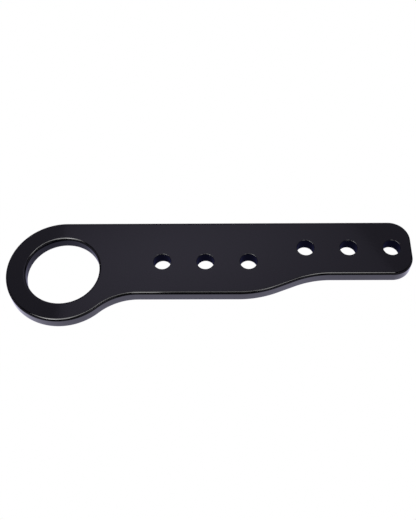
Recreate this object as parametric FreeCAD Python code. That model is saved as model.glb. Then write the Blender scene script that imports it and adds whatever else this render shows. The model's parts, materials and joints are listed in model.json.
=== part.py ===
import FreeCAD, Part
import itertools
import math
import os

# Flat eye plate: a bar cut from thick plate, with a large plain eye at one end, a straight back
# edge, a front edge that steps in along a shallow ramp, and two rows of bolt holes.
# All sizes are in millimetres. The plate lies flat. The origin is on the eye's axis, on the
# underside. +X runs along the bar away from the eye, +Y to the straight back edge, +Z up.

# Plate
plate_length = 282.0
plate_thickness = 9.5
edge_rounding = 1.5
bolt_hole_rounding = 0.4

# Eye
eye_bore_diameter = 51.0
eye_wall = 13.7
eye_to_bar_blend_radius = 40.0

# Bar: widths are measured from the straight back edge, which runs on from the top of the eye
bar_width = 58.0
end_width = 43.0
end_corner_radius = 14.5
narrow_length = 70.0
ramp_angle = 22.0
ramp_inner_radius = 66.0
ramp_outer_radius = 71.0
least_ramp_straight = 1.0

# Bolt holes: the inner row is set from the eye's bore, the outer row from the far end
bolt_hole_diameter = 12.0
bolt_hole_pitch = 30.0
holes_in_row = 3
bore_to_first_hole = 43.5
inner_row_from_back_edge = 32.5
last_hole_to_end = 13.8

# The rounding of an edge takes at most this share of the metal beside it
most_rounded_share = 0.4

# Worked out from the sizes above
eye_bore_radius = eye_bore_diameter / 2
bolt_hole_radius = bolt_hole_diameter / 2
eye_radius = eye_bore_radius + eye_wall
back_y = eye_radius
bar_front_y = back_y - bar_width
end_front_y = back_y - end_width
end_x = plate_length - eye_radius
inner_row_x = eye_bore_radius + bore_to_first_hole
inner_row_y = back_y - inner_row_from_back_edge
outer_row_x = end_x - last_hole_to_end - (holes_in_row - 1) * bolt_hole_pitch
outer_row_y = (back_y + end_front_y) / 2


def point(x, y):
    """A point of the outline, on the underside."""
    return FreeCAD.Vector(x, y, 0)


def on_circle(centre, radius, degrees):
    """The point of a circle at an angle from +X, counter-clockwise."""
    angle = math.radians(degrees)
    return centre + point(radius * math.cos(angle), radius * math.sin(angle))


def line(start, end):
    return Part.LineSegment(start, end).toShape()


def arc(centre, radius, start_degrees, end_degrees):
    """An arc through its middle, so it turns the way the two angles say."""
    middle_degrees = (start_degrees + end_degrees) / 2
    start = on_circle(centre, radius, start_degrees)
    middle = on_circle(centre, radius, middle_degrees)
    end = on_circle(centre, radius, end_degrees)
    return Part.Arc(start, middle, end).toShape()


def blend_edges():
    """The concave arc that touches the eye's outside and the bar's front edge, then that edge's
    left end. Returns the arc, the angle where it touches the eye, and the edge's start."""
    centre_y = bar_front_y - eye_to_bar_blend_radius
    centre_distance = eye_radius + eye_to_bar_blend_radius
    centre = point(math.sqrt(centre_distance ** 2 - centre_y ** 2), centre_y)
    touch_degrees = math.degrees(math.atan2(centre.y, centre.x))
    blend = arc(centre, eye_to_bar_blend_radius, 180 + touch_degrees, 90)
    return blend, touch_degrees, point(centre.x, bar_front_y)


def ramp_edges():
    """A straight ramp with a bend at its foot and one at its top. The bends share the ramp's
    length, so on a short ramp both radii shrink together. Returns the edges, then the points
    where the ramp leaves the bar's front edge and joins the end's."""
    angle = math.radians(ramp_angle)
    along = point(math.cos(angle), math.sin(angle))
    length = (end_front_y - bar_front_y) / math.sin(angle)
    top = point(end_x - narrow_length, end_front_y)
    foot = top - along * length

    tangent_per_radius = math.tan(angle / 2)
    wanted = (ramp_outer_radius + ramp_inner_radius) * tangent_per_radius
    bend_scale = min(1, (length - least_ramp_straight) / wanted)
    foot_radius = ramp_outer_radius * bend_scale
    top_radius = ramp_inner_radius * bend_scale
    foot_tangent = foot_radius * tangent_per_radius
    top_tangent = top_radius * tangent_per_radius

    leave = foot - point(foot_tangent, 0)
    join = top + point(top_tangent, 0)
    edges = [
        arc(leave + point(0, foot_radius), foot_radius, -90, -90 + ramp_angle),
        line(foot + along * foot_tangent, top - along * top_tangent),
        arc(join - point(0, top_radius), top_radius, 90 + ramp_angle, 90),
    ]
    return edges, leave, join


def plate_outline():
    """The closed outline, counter-clockwise from the top of the eye."""
    blend, touch_degrees, front_start = blend_edges()
    ramp, ramp_leave, ramp_join = ramp_edges()
    corner_x = end_x - end_corner_radius
    front_corner = point(corner_x, end_front_y + end_corner_radius)
    back_corner = point(corner_x, back_y - end_corner_radius)
    edges = [
        arc(point(0, 0), eye_radius, 90, 360 + touch_degrees),
        blend,
        line(front_start, ramp_leave),
        *ramp,
        line(ramp_join, point(corner_x, end_front_y)),
        arc(front_corner, end_corner_radius, -90, 0),
        line(point(end_x, front_corner.y), point(end_x, back_corner.y)),
        arc(back_corner, end_corner_radius, 0, 90),
        line(point(corner_x, back_y), point(0, back_y)),
    ]
    return Part.Wire(edges)


def hole_places():
    """The centre and radius of the eye's bore and of every bolt hole."""
    places = [(point(0, 0), eye_bore_radius)]
    for row_x, row_y in ((inner_row_x, inner_row_y), (outer_row_x, outer_row_y)):
        for index in range(holes_in_row):
            centre = point(row_x + index * bolt_hole_pitch, row_y)
            places.append((centre, bolt_hole_radius))
    return places


def limited_rounding(wanted, holes):
    """A rounding limited by the thickness and by the metal between two holes."""
    metal = [plate_thickness]
    for (centre_a, radius_a), (centre_b, radius_b) in itertools.combinations(holes, 2):
        metal.append(centre_a.distanceToPoint(centre_b) - radius_a - radius_b)
    return min(wanted, most_rounded_share * min(metal))


def is_bolt_hole_rim(edge):
    """Whether an edge is the full circle where a bolt hole meets a face."""
    if not isinstance(edge.Curve, Part.Circle) or not edge.isClosed():
        return False
    return math.isclose(edge.Curve.Radius, bolt_hole_radius)


def face_edges(plate):
    """Every edge that lies flat: round the outside, the eye's bore and the bolt holes."""
    return [edge for edge in plate.Edges if edge.BoundBox.ZLength < plate_thickness / 2]


def make_eye_plate():
    """The plate, rounded well on the outside and in the eye, and only slightly at the bolt holes."""
    holes = hole_places()
    up = FreeCAD.Vector(0, 0, plate_thickness)
    blank = Part.Face(plate_outline()).extrude(up)
    cutters = [Part.makeCylinder(radius, plate_thickness, centre) for centre, radius in holes]
    plate = blank.cut(cutters)
    well_rounded = [edge for edge in face_edges(plate) if not is_bolt_hole_rim(edge)]
    plate = plate.makeFillet(limited_rounding(edge_rounding, holes), well_rounded)
    rims = [edge for edge in plate.Edges if is_bolt_hole_rim(edge)]
    return plate.makeFillet(limited_rounding(bolt_hole_rounding, holes), rims)


os.makedirs("parts", exist_ok=True)
eye_plate = make_eye_plate()
eye_plate.exportStep("parts/eye_plate.step")
print("eye_plate volume in cubic millimetres:", round(eye_plate.Volume, 1))
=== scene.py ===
# %% [markdown]
# # An eye plate in gloss black coating
# This lesson builds the finished look of a flat steel plate with a big round eye at one end and
# six bolt holes along the bar. The engineering model gives the exact size and place. Blender
# gives the coated surface, the softly rounded rims and the studio light that shows them.
# All lengths are in metres. X runs along the bar, Y to the straight back edge and Z up.

# %% Load the engineering model
import json
import math

import bmesh
import bpy
from mathutils import Matrix, Vector
from mathutils.bvhtree import BVHTree


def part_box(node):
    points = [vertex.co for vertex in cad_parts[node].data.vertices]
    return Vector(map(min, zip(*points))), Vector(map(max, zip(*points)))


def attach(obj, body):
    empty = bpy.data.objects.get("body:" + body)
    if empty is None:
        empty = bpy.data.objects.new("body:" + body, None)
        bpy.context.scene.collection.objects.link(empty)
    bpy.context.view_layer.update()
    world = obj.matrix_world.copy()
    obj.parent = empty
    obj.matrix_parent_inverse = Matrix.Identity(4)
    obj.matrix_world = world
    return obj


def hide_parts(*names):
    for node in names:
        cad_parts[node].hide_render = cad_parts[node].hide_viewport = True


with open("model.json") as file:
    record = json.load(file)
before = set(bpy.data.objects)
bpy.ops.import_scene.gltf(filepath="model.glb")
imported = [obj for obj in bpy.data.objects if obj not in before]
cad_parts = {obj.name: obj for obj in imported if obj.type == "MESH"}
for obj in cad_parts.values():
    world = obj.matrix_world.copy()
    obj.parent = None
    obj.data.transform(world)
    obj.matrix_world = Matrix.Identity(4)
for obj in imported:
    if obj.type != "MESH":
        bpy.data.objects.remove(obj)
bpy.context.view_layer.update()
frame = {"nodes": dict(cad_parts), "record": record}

# %% [markdown]
# ## The sizes of the plate
# The real plate is cut from one thick sheet, so its sizes come first. The model's box gives the
# eye's radius, the back edge, the far end and the thickness. The mounting record gives the bore
# and the bolt holes. Only the sizes that neither of them holds are written here.

# %% Sizes of the plate
MM = 0.001
plate_low, plate_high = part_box("eye_plate")
thickness = plate_high.z
eye_radius = -plate_low.x
back_y = plate_high.y
end_x = plate_high.x

bar_width = 58 * MM
end_width = 43 * MM
bar_front_y = back_y - bar_width
end_front_y = back_y - end_width
end_corner_radius = 14.5 * MM
eye_to_bar_blend_radius = 40 * MM
narrow_length = 70 * MM
ramp_angle = math.radians(22)
ramp_inner_radius = 66 * MM
ramp_outer_radius = 71 * MM
print("thickness and eye radius in millimetres:", round(thickness / MM, 2), round(eye_radius / MM, 2))

# %% Places of the holes
holes_in_row = 3
mounts = {mount["name"]: mount for mount in frame["record"]["mounts"]}
bore_radius = mounts["eye_bore"]["dims"]["r_mm"] * MM


def bolt_holes(row_name):
    """The centres and the radius of one row of bolt holes."""
    pair = mounts[row_name + "_holes_1_2"]
    pitch = pair["dims"]["spacing_x_mm"] * MM
    pair_middle = Vector((pair["pos_m"][0], pair["pos_m"][1], 0))
    first = pair_middle - Vector((pitch / 2, 0, 0))
    radius = pair["dims"]["hole_r_mm"] * MM
    return [(first + Vector((index * pitch, 0, 0)), radius) for index in range(holes_in_row)]


small_holes = bolt_holes("inner_row") + bolt_holes("outer_row")
print("bolt holes at x, y in millimetres:",
      [(round(centre.x / MM, 1), round(centre.y / MM, 1)) for centre, radius in small_holes])

# %% [markdown]
# ## Tracing the outline
# A saw or a laser walks once round the real plate. The same walk works here: one vertex is put
# at the top of the eye, a straight stretch is an extrude, and a round stretch is a spin about
# its centre. This keeps every arc a true arc, which matters on a gloss surface, because a
# reflection shows the smallest flat spot. A positive spin turns clockwise, seen from above.

# %% Tools for the walk
arc_step = math.radians(2)
closing_gap = 0.05 * MM


def vertex_at(x, y):
    """A new object that holds one selected vertex, in edit mode."""
    bpy.ops.object.select_all(action="DESELECT")
    bpy.ops.mesh.primitive_plane_add(size=MM, location=(x, y, 0))
    bpy.ops.object.transform_apply(location=True, rotation=True, scale=True)
    piece = bpy.context.object
    bpy.ops.object.mode_set(mode="EDIT")
    bpy.ops.mesh.select_mode(type="VERT")
    bpy.ops.mesh.select_all(action="SELECT")
    bpy.ops.mesh.merge(type="CENTER")
    return piece


def pen_place(piece):
    """Where the walk has got to: its one selected vertex."""
    mesh = bmesh.from_edit_mesh(piece.data)
    return next(vertex.co.copy() for vertex in mesh.verts if vertex.select)


def straight_to(piece, x, y):
    step = Vector((x, y, 0)) - pen_place(piece)
    bpy.ops.mesh.extrude_region_move(TRANSFORM_OT_translate={"value": step})


def round_about(piece, centre_x, centre_y, angle):
    steps = math.ceil(abs(angle) / arc_step)
    bpy.ops.mesh.spin(steps=steps, angle=angle, center=(centre_x, centre_y, 0), axis=(0, 0, 1))


# %% Walk round the far end
coated_plate = vertex_at(0, back_y)
coated_plate.name = "coated_plate"
quarter_turn = math.pi / 2
corner_x = end_x - end_corner_radius

straight_to(coated_plate, corner_x, back_y)
round_about(coated_plate, corner_x, back_y - end_corner_radius, quarter_turn)
straight_to(coated_plate, end_x, end_front_y + end_corner_radius)
round_about(coated_plate, corner_x, end_front_y + end_corner_radius, quarter_turn)
print("far end walked, now at", [round(value / MM, 2) for value in pen_place(coated_plate)])

# %% Walk down the ramp
ramp_top_x = end_x - narrow_length
ramp_run = (end_front_y - bar_front_y) / math.tan(ramp_angle)
ramp_foot_x = ramp_top_x - ramp_run
tangent_per_radius = math.tan(ramp_angle / 2)
top_tangent = ramp_inner_radius * tangent_per_radius
foot_tangent = ramp_outer_radius * tangent_per_radius
foot_bend_x = ramp_foot_x + foot_tangent * math.cos(ramp_angle)
foot_bend_y = bar_front_y + foot_tangent * math.sin(ramp_angle)

straight_to(coated_plate, ramp_top_x + top_tangent, end_front_y)
round_about(coated_plate, ramp_top_x + top_tangent, end_front_y - ramp_inner_radius, -ramp_angle)
straight_to(coated_plate, foot_bend_x, foot_bend_y)
round_about(coated_plate, ramp_foot_x - foot_tangent, bar_front_y + ramp_outer_radius, ramp_angle)
print("ramp walked, now at", [round(value / MM, 2) for value in pen_place(coated_plate)])

# %% Walk back along the bar and round the eye
blend_y = bar_front_y - eye_to_bar_blend_radius
blend_x = math.sqrt((eye_radius + eye_to_bar_blend_radius) ** 2 - blend_y ** 2)
touch_angle = math.atan2(blend_y, blend_x)

straight_to(coated_plate, blend_x, bar_front_y)
round_about(coated_plate, blend_x, blend_y, -(quarter_turn + touch_angle))
round_about(coated_plate, 0, 0, 3 * quarter_turn + touch_angle)
bpy.ops.mesh.select_all(action="SELECT")
bpy.ops.mesh.remove_doubles(threshold=closing_gap)
outline = bmesh.from_edit_mesh(coated_plate.data)
open_ends = [vertex for vertex in outline.verts if len(vertex.link_edges) != 2]
print("outline:", len(outline.verts), "vertices,", len(open_ends), "open ends")

# %% [markdown]
# ## A copy for later
# The floor near the plate will need sheets in the same outline, so a copy of the closed line is
# set aside before it becomes a solid. Everything after this works on the plate again.

# %% Keep a copy of the outline
bpy.ops.object.mode_set(mode="OBJECT")
bpy.ops.object.duplicate()
outline_copy = bpy.context.object
outline_copy.name = "outline_copy"


def make_active(piece):
    """Selects one object alone."""
    bpy.ops.object.select_all(action="DESELECT")
    piece.select_set(True)
    bpy.context.view_layer.objects.active = piece


make_active(coated_plate)
bpy.ops.object.mode_set(mode="EDIT")
print("copies of the outline:", outline_copy.name)

# %% [markdown]
# ## From outline to plate
# The bore and the bolt holes are circles added inside the outline. One fill makes the flat face
# with all its holes, and one extrude gives the plate its thickness. An inset then puts a clean
# band of quads along every rim, because a bevel that meets the fill's long triangles would come
# out ragged.

# %% Cut the holes and raise the plate
bore_points = 180
bolt_hole_points = 72
rim_band = 3 * MM
flat_enough = 0.9

bpy.ops.mesh.primitive_circle_add(vertices=bore_points, radius=bore_radius, location=(0, 0, 0))
for centre, radius in small_holes:
    bpy.ops.mesh.primitive_circle_add(vertices=bolt_hole_points, radius=radius, location=centre)
bpy.ops.mesh.select_all(action="SELECT")
bpy.ops.mesh.fill(use_beauty=True)
bpy.ops.mesh.extrude_region_move(TRANSFORM_OT_translate={"value": (0, 0, thickness)})
bpy.ops.mesh.select_all(action="SELECT")
bpy.ops.mesh.normals_make_consistent(inside=False)


def select_flat_faces(piece):
    """Selects the top and the underside, and returns how many faces that is."""
    bpy.ops.mesh.select_mode(type="FACE")
    bpy.ops.mesh.select_all(action="DESELECT")
    mesh = bmesh.from_edit_mesh(piece.data)
    flat = [face for face in mesh.faces if abs(face.normal.z) > flat_enough]
    for face in flat:
        face.select_set(True)
    bmesh.update_edit_mesh(piece.data)
    return len(flat)


print("flat faces:", select_flat_faces(coated_plate))
bpy.ops.mesh.inset(thickness=rim_band, use_even_offset=True, use_boundary=True)

# %% [markdown]
# ## Rounding the rims
# On the real plate the outside and the eye's bore are rounded well, because hands and a bar
# pass there, and powder or enamel runs thin on a sharp corner. The bolt holes were drilled and
# only lost their burr. So the long rims take a wide bevel and the bolt holes a narrow one. Both
# are made in edit mode, where the edges can be picked by their place.

# %% Bevel the rims
rim_rounding = 1.5 * MM
rim_segments = 8
hole_rounding = 0.4 * MM
hole_segments = 4
sharp_angle = math.radians(60)


def at_a_bolt_hole(place):
    """Whether a place lies on the wall of a bolt hole."""
    flat_place = Vector((place.x, place.y, 0))
    return any((flat_place - centre).length < radius + hole_rounding
               for centre, radius in small_holes)


def select_rims(piece, bolt_holes_wanted):
    """Selects the sharp edges at the bolt holes, or all the other sharp edges."""
    bpy.ops.mesh.select_mode(type="EDGE")
    bpy.ops.mesh.select_all(action="DESELECT")
    mesh = bmesh.from_edit_mesh(piece.data)
    chosen = []
    for edge in mesh.edges:
        middle = (edge.verts[0].co + edge.verts[1].co) / 2
        if edge.calc_face_angle(0) > sharp_angle and at_a_bolt_hole(middle) == bolt_holes_wanted:
            chosen.append(edge)
    for edge in chosen:
        edge.select_set(True)
    bmesh.update_edit_mesh(piece.data)
    return len(chosen)


print("edges of the long rims:", select_rims(coated_plate, False))
bpy.ops.mesh.bevel(offset=rim_rounding, segments=rim_segments, affect="EDGES", clamp_overlap=False)
print("edges of the bolt-hole rims:", select_rims(coated_plate, True))
bpy.ops.mesh.bevel(offset=hole_rounding, segments=hole_segments, affect="EDGES", clamp_overlap=False)

# %% [markdown]
# ## Smooth shading that keeps the flats flat
# Plain smooth shading would bend the light on the flat faces near each rim. The Weighted Normal
# modifier lets the large faces decide, so the top stays a mirror-flat sheet and only the
# rounding turns the light.

# %% Shade the plate and fit it to the model
bpy.ops.object.mode_set(mode="OBJECT")
bpy.ops.object.shade_smooth()
bpy.ops.object.modifier_add(type="WEIGHTED_NORMAL")
flat_keeper = coated_plate.modifiers[-1]
bpy.ops.object.modifier_apply(modifier=flat_keeper.name)

model_surface = BVHTree.FromObject(frame["nodes"]["eye_plate"],
                                   bpy.context.evaluated_depsgraph_get())
gaps = [model_surface.find_nearest(vertex.co)[3] for vertex in coated_plate.data.vertices]
print("plate:", len(coated_plate.data.polygons), "faces, largest gap to the engineering model:",
      round(max(gaps) / MM, 3), "mm")

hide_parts("eye_plate")
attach(coated_plate, "root")

# %% [markdown]
# ## Helpers for node materials
# A node material is a small diagram. These two helpers add a node with its settings and join
# two sockets, so that each finish further on reads like a parts list.

# %% Node helpers


def add_node(tree, kind, settings=None, inputs=None):
    """A new node, with some of its settings and input values."""
    node = tree.nodes.new(kind)
    for name, value in (settings or {}).items():
        setattr(node, name, value)
    for name, value in (inputs or {}).items():
        node.inputs[name].default_value = value
    return node


def new_material(name):
    """An empty node material with its output node."""
    material = bpy.data.materials.new(name)
    material.use_nodes = True
    material.node_tree.nodes.clear()
    output = add_node(material.node_tree, "ShaderNodeOutputMaterial")
    return material, material.node_tree, output


# %% [markdown]
# ## Orange peel and fine dust
# A sprayed or powder-coated surface is never a perfect mirror. It flows out into very shallow
# waves a few millimetres long, called orange peel. It has a fine haze where wiping makes the
# gloss uneven, and a few tiny specks where dust fell on it wet. All three are patterns in the
# plate's own coordinates, and a node group holds them, so that another coated piece could use
# them with its own values.

# %% Node group for a coated surface
specks_per_metre = 420.0
speck_core = 0.05
speck_edge = 0.12


def coated_surface_group():
    """Height, gloss and tone patterns of a sprayed coat, from coordinates in metres."""
    group = bpy.data.node_groups.new("Sprayed coat", "ShaderNodeTree")
    interface = group.interface
    interface.new_socket("Vector", in_out="INPUT", socket_type="NodeSocketVector")
    interface.new_socket("Waves per metre", in_out="INPUT", socket_type="NodeSocketFloat")
    interface.new_socket("Haze per metre", in_out="INPUT", socket_type="NodeSocketFloat")
    for name in ("Height", "Haze", "Specks"):
        interface.new_socket(name, in_out="OUTPUT", socket_type="NodeSocketFloat")
    place = add_node(group, "NodeGroupInput")
    result = add_node(group, "NodeGroupOutput")

    waves = add_node(group, "ShaderNodeTexNoise", inputs={"Detail": 1.5, "Roughness": 0.45})
    haze = add_node(group, "ShaderNodeTexNoise", inputs={"Detail": 4.0, "Roughness": 0.6})
    specks = add_node(group, "ShaderNodeTexVoronoi", {"feature": "F1"}, {"Scale": specks_per_metre})
    speck_size = add_node(group, "ShaderNodeMapRange", {"interpolation_type": "SMOOTHSTEP"},
                          {"From Min": speck_core, "From Max": speck_edge, "To Min": 1.0, "To Max": 0.0})
    link = group.links.new
    for texture in (waves, haze, specks):
        link(place.outputs["Vector"], texture.inputs["Vector"])
    link(place.outputs["Waves per metre"], waves.inputs["Scale"])
    link(place.outputs["Haze per metre"], haze.inputs["Scale"])
    link(specks.outputs["Distance"], speck_size.inputs["Value"])
    link(waves.outputs["Fac"], result.inputs["Height"])
    link(haze.outputs["Fac"], result.inputs["Haze"])
    link(speck_size.outputs["Result"], result.inputs["Specks"])
    return group


sprayed_coat = coated_surface_group()
print("node group:", sprayed_coat.name, "with", len(sprayed_coat.nodes), "nodes")

# %% [markdown]
# ## Where the coat is thin
# A coat pulls away from edges as it flows out and cures, and handling rubs the edges first. So
# the rims are a little duller in patches, and the flats are not. A mask could be painted by
# hand. Here each vertex gets a number that tells the material how far it is round a rim, and
# the haze pattern breaks that into patches. It stays faint: a new part looks clean.

# %% Mark the rims for the coat
half_marked = 0.5


def mark_rims(piece):
    """A number at each vertex: up to 1 on a rounding, 0 on the flats and the walls."""
    rim = piece.data.attributes.new("rim", "FLOAT", "POINT")
    for vertex in piece.data.vertices:
        rim.data[vertex.index].value = 1 - abs(2 * abs(vertex.normal.z) - 1)
    return sum(item.value > half_marked for item in rim.data)


print("vertices on the rims:", mark_rims(coated_plate))

# %% Patches of wear on the rims
wear_starts, wear_full = 0.45, 0.62


def rim_wear(tree, coat):
    """The mask of worn patches: the coat's haze, kept only where a rim is marked."""
    rim = add_node(tree, "ShaderNodeAttribute", {"attribute_name": "rim"})
    patches = add_node(tree, "ShaderNodeMapRange", {"interpolation_type": "SMOOTHSTEP"},
                       {"From Min": wear_starts, "From Max": wear_full})
    wear = add_node(tree, "ShaderNodeMath", {"operation": "MULTIPLY"})
    tree.links.new(coat.outputs["Haze"], patches.inputs["Value"])
    tree.links.new(rim.outputs["Fac"], wear.inputs[0])
    tree.links.new(patches.outputs["Result"], wear.inputs[1])
    return wear.outputs["Value"]


# %% [markdown]
# ## The gloss black coat
# Black gloss is almost only reflection: the colour under it is close to nothing, and what the
# eye sees is the room. So the base colour stays very dark, with a hint of violet-blue, and the
# work goes into the roughness and the bump. The coat is slightly duller in patches of a few
# centimetres and at the specks of dust. The waves of the orange peel are far too shallow to see,
# except where a bright reflection bends.

# %% Tone of the coat
deep_black = (0.0006, 0.0005, 0.0009, 1)
hazy_black = (0.0012, 0.0011, 0.0017, 1)
worn_black = (0.004, 0.004, 0.005, 1)


def coat_tone(tree, coat, wear):
    """The base colour, a shade lighter in the haze and on the worn patches."""
    tone = add_node(tree, "ShaderNodeMix", {"data_type": "RGBA"})
    tone.inputs["A"].default_value = deep_black
    tone.inputs["B"].default_value = hazy_black
    worn_tone = add_node(tree, "ShaderNodeMix", {"data_type": "RGBA"})
    worn_tone.inputs["B"].default_value = worn_black
    tree.links.new(coat.outputs["Haze"], tone.inputs["Factor"])
    tree.links.new(tone.outputs["Result"], worn_tone.inputs["A"])
    tree.links.new(wear, worn_tone.inputs["Factor"])
    return worn_tone.outputs["Result"]


# %% Dullness of the coat
least_haze, most_haze = 0.3, 0.7
glossiest = 0.05
dullest = 0.08
speck_dullness = 0.08
wear_dullness = 0.05


def coat_dullness(tree, coat, wear):
    """The roughness: the haze sets it, and the specks and the worn patches add to it."""
    haze_dullness = add_node(tree, "ShaderNodeMapRange", {},
                             {"From Min": least_haze, "From Max": most_haze,
                              "To Min": glossiest, "To Max": dullest})
    with_specks = add_node(tree, "ShaderNodeMath", {"operation": "MULTIPLY_ADD"})
    with_specks.inputs[1].default_value = speck_dullness
    with_wear = add_node(tree, "ShaderNodeMath", {"operation": "MULTIPLY_ADD"})
    with_wear.inputs[1].default_value = wear_dullness
    tree.links.new(coat.outputs["Haze"], haze_dullness.inputs["Value"])
    tree.links.new(coat.outputs["Specks"], with_specks.inputs[0])
    tree.links.new(haze_dullness.outputs["Result"], with_specks.inputs[2])
    tree.links.new(wear, with_wear.inputs[0])
    tree.links.new(with_specks.outputs["Value"], with_wear.inputs[2])
    return with_wear.outputs["Value"]


# %% Gloss black material
waves_per_metre = 420.0
haze_per_metre = 45.0
wave_height = 0.02 * MM
wave_strength = 0.35
paint_ior = 1.5


def gloss_black_coat():
    material, tree, output = new_material("gloss black coat")
    link = tree.links.new
    coordinates = add_node(tree, "ShaderNodeTexCoord")
    coat = add_node(tree, "ShaderNodeGroup", {"node_tree": sprayed_coat},
                    {"Waves per metre": waves_per_metre, "Haze per metre": haze_per_metre})
    waves = add_node(tree, "ShaderNodeBump", {}, {"Strength": wave_strength, "Distance": wave_height})
    surface = add_node(tree, "ShaderNodeBsdfPrincipled", {}, {"IOR": paint_ior, "Metallic": 0.0})
    link(coordinates.outputs["Object"], coat.inputs["Vector"])
    link(coat.outputs["Height"], waves.inputs["Height"])
    wear = rim_wear(tree, coat)
    link(coat_tone(tree, coat, wear), surface.inputs["Base Color"])
    link(coat_dullness(tree, coat, wear), surface.inputs["Roughness"])
    link(waves.outputs["Normal"], surface.inputs["Normal"])
    link(surface.outputs["BSDF"], output.inputs["Surface"])
    return material


coat_material = gloss_black_coat()
coated_plate.data.materials.clear()
coated_plate.data.materials.append(coat_material)
print("material:", coat_material.name, "with", len(coat_material.node_tree.nodes), "nodes")

# %% [markdown]
# ## A light table for a floor
# The plate lies on a pale, evenly lit table. On a real product table the light comes up through
# the sheet, so the plate throws no shadow. An emitting plane does the same, and the camera sees
# it as plain white. What the plate itself reflects is far dimmer, as if dark cards lay round it
# on the table, and that gives its rims a dark line. A narrow lit margin is left beside it.

# %% A sheet that the camera sees as white
white = (1, 1, 1, 1)
cloud_detail = 3.0
cloud_share = 0.05


def glowing_sheet_material(name, glow_strength, tint, cloud_scale):
    """White to the camera, and a faintly clouded glow of the given strength to everything else."""
    material, tree, output = new_material(name)
    link = tree.links.new
    coordinates = add_node(tree, "ShaderNodeTexCoord")
    cloud = add_node(tree, "ShaderNodeTexNoise", {}, {"Scale": cloud_scale, "Detail": cloud_detail})
    evenness = add_node(tree, "ShaderNodeMapRange", {},
                        {"To Min": (1 - cloud_share) * glow_strength,
                         "To Max": (1 + cloud_share) * glow_strength})
    glow = add_node(tree, "ShaderNodeEmission", {}, {"Color": tint})
    seen = add_node(tree, "ShaderNodeEmission", {}, {"Color": white, "Strength": 1.0})
    ray = add_node(tree, "ShaderNodeLightPath")
    choice = add_node(tree, "ShaderNodeMixShader")
    link(coordinates.outputs["Object"], cloud.inputs["Vector"])
    link(cloud.outputs["Fac"], evenness.inputs["Value"])
    link(evenness.outputs["Result"], glow.inputs["Strength"])
    link(ray.outputs["Is Camera Ray"], choice.inputs["Fac"])
    link(glow.outputs["Emission"], choice.inputs[1])
    link(seen.outputs["Emission"], choice.inputs[2])
    link(choice.outputs["Shader"], output.inputs["Surface"])
    return material


# %% Pale floor
floor_half_width = 1.6
floor_drop = 0.3 * MM
floor_x = 0.1
floor_cloud_scale = 6.0
floor_tint = (1.0, 0.97, 1.27, 1)
card_glow = 0.13

bpy.ops.object.select_all(action="DESELECT")
bpy.ops.mesh.primitive_plane_add(size=2 * floor_half_width, location=(floor_x, 0, -floor_drop))
floor = bpy.context.object
floor.name = "light_table"
floor.data.materials.append(glowing_sheet_material("pale light table", card_glow, floor_tint,
                                                   floor_cloud_scale))
print("floor:", floor.name, "at", round(floor.location.z / MM, 2), "mm")

# %% [markdown]
# ## Sheets that follow the plate
# The lit margin is a sheet in the plate's own outline, grown by a few millimetres. A dim sheet in
# the same outline, shrunk a little, is painted shade: it stands for the floor shaded under the
# plate, so the bolt-hole walls reflect dark. In the bore a ring of dim light round a dark middle is
# painted shade too. Only the plate reflects these sheets: the camera sees the floor.

# %% Tools for the sheets
grain_scale = 60.0
sheet_thickness = 0.02 * MM


def keep_sheet(sheet, name, glow, tint):
    """Names a sheet, gives it its glow and hides it from the camera."""
    sheet.name = name
    sheet.data.materials.append(glowing_sheet_material(name, glow, tint, grain_scale))
    sheet.visible_camera = False


def sheet_like_plate(name, glow, tint, grow, drop):
    """A thin sheet in the plate's outline, grown by grow, or shrunk where grow is negative."""
    make_active(outline_copy)
    bpy.ops.object.duplicate()
    sheet = bpy.context.object
    bpy.ops.object.mode_set(mode="EDIT")
    bpy.ops.mesh.select_all(action="SELECT")
    bpy.ops.transform.translate(value=(0, 0, -drop))
    bpy.ops.mesh.extrude_region_move(TRANSFORM_OT_translate={"value": (0, 0, -sheet_thickness)})
    bpy.ops.mesh.select_all(action="SELECT")
    bpy.ops.mesh.normals_make_consistent(inside=False)
    bpy.ops.transform.shrink_fatten(value=grow, use_even_offset=True)
    bpy.ops.mesh.fill_holes(sides=0)
    bpy.ops.object.mode_set(mode="OBJECT")
    keep_sheet(sheet, name, glow, tint)


# %% Lit margin and the sheet of painted shade
margin_drop = 0.22 * MM
margin_width = 6 * MM
margin_glow = 0.94
# The sheet under the plate glows faintly blue: painted shade for the floor the plate shades, seen in the
# bolt-hole walls.
shade_sheet_drop = 0.18 * MM
shade_sheet_inset = 2.5 * MM
shade_sheet_glow = 0.05
shade_sheet_tint = (0.75, 0.75, 2.2, 1)

sheet_like_plate("lit_margin", margin_glow, floor_tint, margin_width, margin_drop)
sheet_like_plate("painted_shade_under_plate", shade_sheet_glow, shade_sheet_tint, -shade_sheet_inset, shade_sheet_drop)
bpy.data.objects.remove(outline_copy)

# %% Ring of light in the bore
# Painted shade: the dim ring and the darker middle stand for the floor that the plate shades inside the
# eye, as the bore's wall reflects it.
ring_drop = 0.14 * MM
ring_glow = 0.28
ring_tint = (1.0, 0.97, 1.45, 1)
ring_width = 5 * MM
bore_shade_drop = 0.1 * MM
bore_shade_glow = 0.02
round_points = 96


def round_sheet(name, glow, tint, radius, drop):
    bpy.ops.object.select_all(action="DESELECT")
    bpy.ops.mesh.primitive_circle_add(vertices=round_points, radius=radius, fill_type="NGON",
                                      location=(0, 0, -drop))
    keep_sheet(bpy.context.object, name, glow, tint)


round_sheet("bore_light", ring_glow, ring_tint, bore_radius + ring_width, ring_drop)
round_sheet("bore_painted_shade", bore_shade_glow, ring_tint, bore_radius - ring_width, bore_shade_drop)

# %% [markdown]
# ## Softboxes
# A gloss black plate needs something to reflect. An eight-sided softbox overhead draws the thin
# bright line along each front rim. A dimmer panel behind gives the top face its soft grey sheen,
# and it ends before the far end does, which leaves that end darker. Each light is a flat shape
# that glows, brightest near its middle, as a real softbox is.

# %% Glowing panels


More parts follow.
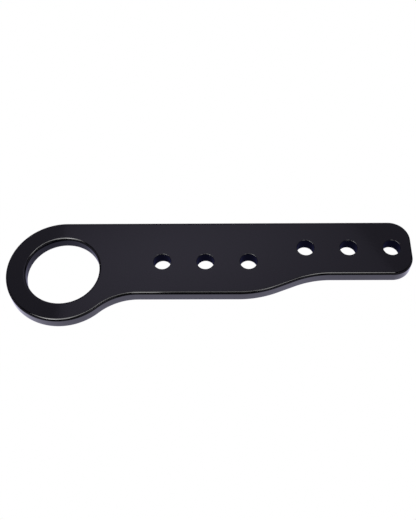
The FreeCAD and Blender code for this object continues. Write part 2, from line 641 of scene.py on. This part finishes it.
def panel_material(name, strength, tint, middle, half_size, edge_share):
    """Glows with strength at middle, falling to a share of it half_size away, in panel metres."""
    material, tree, output = new_material(name)
    link = tree.links.new
    coordinates = add_node(tree, "ShaderNodeTexCoord")
    centred = add_node(tree, "ShaderNodeMapping", {"vector_type": "TEXTURE"},
                       {"Location": (*middle, 0), "Scale": (*half_size, 1)})
    distance = add_node(tree, "ShaderNodeVectorMath", {"operation": "LENGTH"})
    fall = add_node(tree, "ShaderNodeMapRange", {"interpolation_type": "SMOOTHSTEP"},
                    {"To Min": strength, "To Max": strength * edge_share})
    glow = add_node(tree, "ShaderNodeEmission", {}, {"Color": tint})
    link(coordinates.outputs["Object"], centred.inputs["Vector"])
    link(centred.outputs["Vector"], distance.inputs[0])
    link(distance.outputs["Value"], fall.inputs["Value"])
    link(fall.outputs["Result"], glow.inputs["Strength"])
    link(glow.outputs["Emission"], output.inputs["Surface"])
    return material


def panel(name, place, turn, width, height, material):
    """A glowing plane that the camera doesn't see."""
    bpy.ops.object.select_all(action="DESELECT")
    bpy.ops.mesh.primitive_plane_add(size=1, location=place, rotation=turn)
    made = bpy.context.object
    made.scale = (width, height, 1)
    bpy.ops.object.transform_apply(location=False, rotation=False, scale=True)
    made.name = name
    made.data.materials.append(material)
    made.visible_camera = False
    return made


# %% Overhead softbox
overhead_middle = (-0.025, -0.1, 1.2)
overhead_radius = 0.59
overhead_sides = 8
overhead_glow = 24.0
hot_spot = (-0.345, -0.19)
hot_spot_size = (0.24, 0.3)
overhead_edge_share = 0.26

bpy.ops.object.select_all(action="DESELECT")
bpy.ops.mesh.primitive_circle_add(vertices=overhead_sides, radius=overhead_radius, fill_type="NGON",
                                  location=overhead_middle, rotation=(0, 0, math.pi / overhead_sides))
bpy.ops.object.transform_apply(location=False, rotation=True, scale=True)
overhead = bpy.context.object
overhead.name = "overhead_octabox"
overhead.data.materials.append(panel_material("overhead glow", overhead_glow, white, hot_spot,
                                              hot_spot_size, overhead_edge_share))
overhead.visible_camera = False
print("overhead softbox:", round(overhead.dimensions.x, 2), "m across")

# %% Back panel and studio wall
sky_tint = (1, 0.94, 1.26, 1)
back_middle = (0.076, 0.842, 1.3)
back_turn = (math.radians(33), 0, math.radians(11))
back_width, back_height = 0.78, 1.0
back_glow = 0.64
back_bright_spot = (-0.11, 0)
back_bright_size = (0.72, 0.72)
back_edge_share = 0.5
wall_middle = (0.1, 1.5, 1.8)
wall_turn = (quarter_turn, 0, 0)
wall_width, wall_height = 4.0, 3.6
wall_glow = 0.29
wall_bright_size = (2.0, 2.0)
wall_edge_share = 0.8

back = panel("back_panel", back_middle, back_turn, back_width, back_height,
             panel_material("back glow", back_glow, sky_tint, back_bright_spot, back_bright_size,
                            back_edge_share))
wall = panel("studio_wall", wall_middle, wall_turn, wall_width, wall_height,
             panel_material("wall glow", wall_glow, sky_tint, (0, 0), wall_bright_size,
                            wall_edge_share))
print("panels:", back.name, wall.name)

# %% [markdown]
# ## Fill cards for the other sides
# The plate is turned and looked at from every side, so four dim cards stand on the table round
# it. They hardly show on the front rims, and they give the top and the walls a soft tone from
# the sides and from behind.

# %% Dim fill cards
fill_distance = 2.2
fill_height = 1.0
fill_width = 1.7
fill_glow = 0.4
fill_tint = (1, 0.95, 1.2, 1)
fill_bright_size = (1.2, 1.2)
fill_edge_share = 0.6
fill_directions = {"left": 180, "right": 0, "front_left": 225, "front_right": 315}

fill_material = panel_material("fill glow", fill_glow, fill_tint, (0, 0), fill_bright_size,
                               fill_edge_share)
for side, degrees in fill_directions.items():
    direction = math.radians(degrees)
    place = (fill_distance * math.cos(direction), fill_distance * math.sin(direction), fill_height)
    panel("fill_card_" + side, place, (quarter_turn, 0, direction + quarter_turn), fill_width,
          2 * fill_height, fill_material)
print("fill cards:", len(fill_directions))

# %% [markdown]
# ## The camera's arm
# The camera hangs from an arm above the plate, and the plate reflects that too: it cuts a dark
# gap into the long line of light on the front rim. A bar between the plate and the overhead light
# does the same. It is not lit: it glows dimly, a painted glow that stands for the arm's grey surface.

# %% Camera arm
arm_middle = Vector((0.135, -0.19, 0.69))
arm_size = Vector((0.245, 0.58, 0.02))
arm_glow = 0.3


# Painted light: the arm glows faintly instead of being lit by the lamps.
def arm_painted_glow_material():
    material, tree, output = new_material("camera arm painted glow")
    arm_glow_shader = add_node(tree, "ShaderNodeEmission", {}, {"Color": white, "Strength": arm_glow})
    tree.links.new(arm_glow_shader.outputs["Emission"], output.inputs["Surface"])
    return material


bpy.ops.object.select_all(action="DESELECT")
bpy.ops.mesh.primitive_cube_add(size=1, location=arm_middle)
arm = bpy.context.object
arm.scale = arm_size
bpy.ops.object.transform_apply(location=False, rotation=False, scale=True)
arm.name = "camera_arm"
arm.data.materials.append(arm_painted_glow_material())
arm.visible_camera = False
print("arm:", [round(size, 3) for size in arm.dimensions])

# %% [markdown]
# ## The room
# Away from the panels the room is dim, so the rims keep a dark line beside the bright one. The
# camera itself sees a plain white backdrop.

# %% Backdrop
room_glow = 0.03
room_tint = (1, 0.97, 1.05, 1)
backdrop_white = 1.2

world = bpy.data.worlds.new("studio room")
world.use_nodes = True
bpy.context.scene.world = world
room = world.node_tree
room.nodes.clear()
ray = add_node(room, "ShaderNodeLightPath")
dim_room = add_node(room, "ShaderNodeBackground", {}, {"Color": room_tint, "Strength": room_glow})
white_room = add_node(room, "ShaderNodeBackground", {}, {"Color": white, "Strength": backdrop_white})
choice = add_node(room, "ShaderNodeMixShader")
room_output = add_node(room, "ShaderNodeOutputWorld")
room.links.new(ray.outputs["Is Camera Ray"], choice.inputs["Fac"])
room.links.new(dim_room.outputs["Background"], choice.inputs[1])
room.links.new(white_room.outputs["Background"], choice.inputs[2])
room.links.new(choice.outputs["Shader"], room_output.inputs["Surface"])
bpy.context.scene.view_settings.view_transform = "Standard"
print("room glow:", room_glow)

# %% [markdown]
# ## The camera
# The plate is seen from the front and well above, nearly square to the bar. The camera is put
# on a line that leaves the aim point at that angle, then rolled a little about its own line of
# sight, because a hand-held or tripod camera is seldom quite level.

# %% Camera
aim = Vector((100.56, 13.69, 0)) * MM
camera_distance = 562.5 * MM
camera_azimuth = math.radians(2.12)
camera_elevation = math.radians(58.35)
camera_roll = math.radians(-1.99)
camera_lens = 54.96

level = math.cos(camera_elevation)
backward = Vector((math.sin(camera_azimuth) * level, -math.cos(camera_azimuth) * level,
                   math.sin(camera_elevation)))
rightward = Vector((math.cos(camera_azimuth), math.sin(camera_azimuth), 0))
upward = backward.cross(rightward)
rolled_right = math.cos(camera_roll) * rightward + math.sin(camera_roll) * upward
rolled_up = math.cos(camera_roll) * upward - math.sin(camera_roll) * rightward

bpy.ops.object.camera_add()
camera = bpy.context.object
camera.name = "studio_camera"
facing = Matrix((rolled_right, rolled_up, backward)).transposed().to_4x4()
camera.matrix_world = Matrix.Translation(aim + backward * camera_distance) @ facing
camera.data.lens = camera_lens
camera.data.dof.use_dof = False
bpy.context.scene.camera = camera
print("camera at", [round(value, 3) for value in camera.matrix_world.translation])
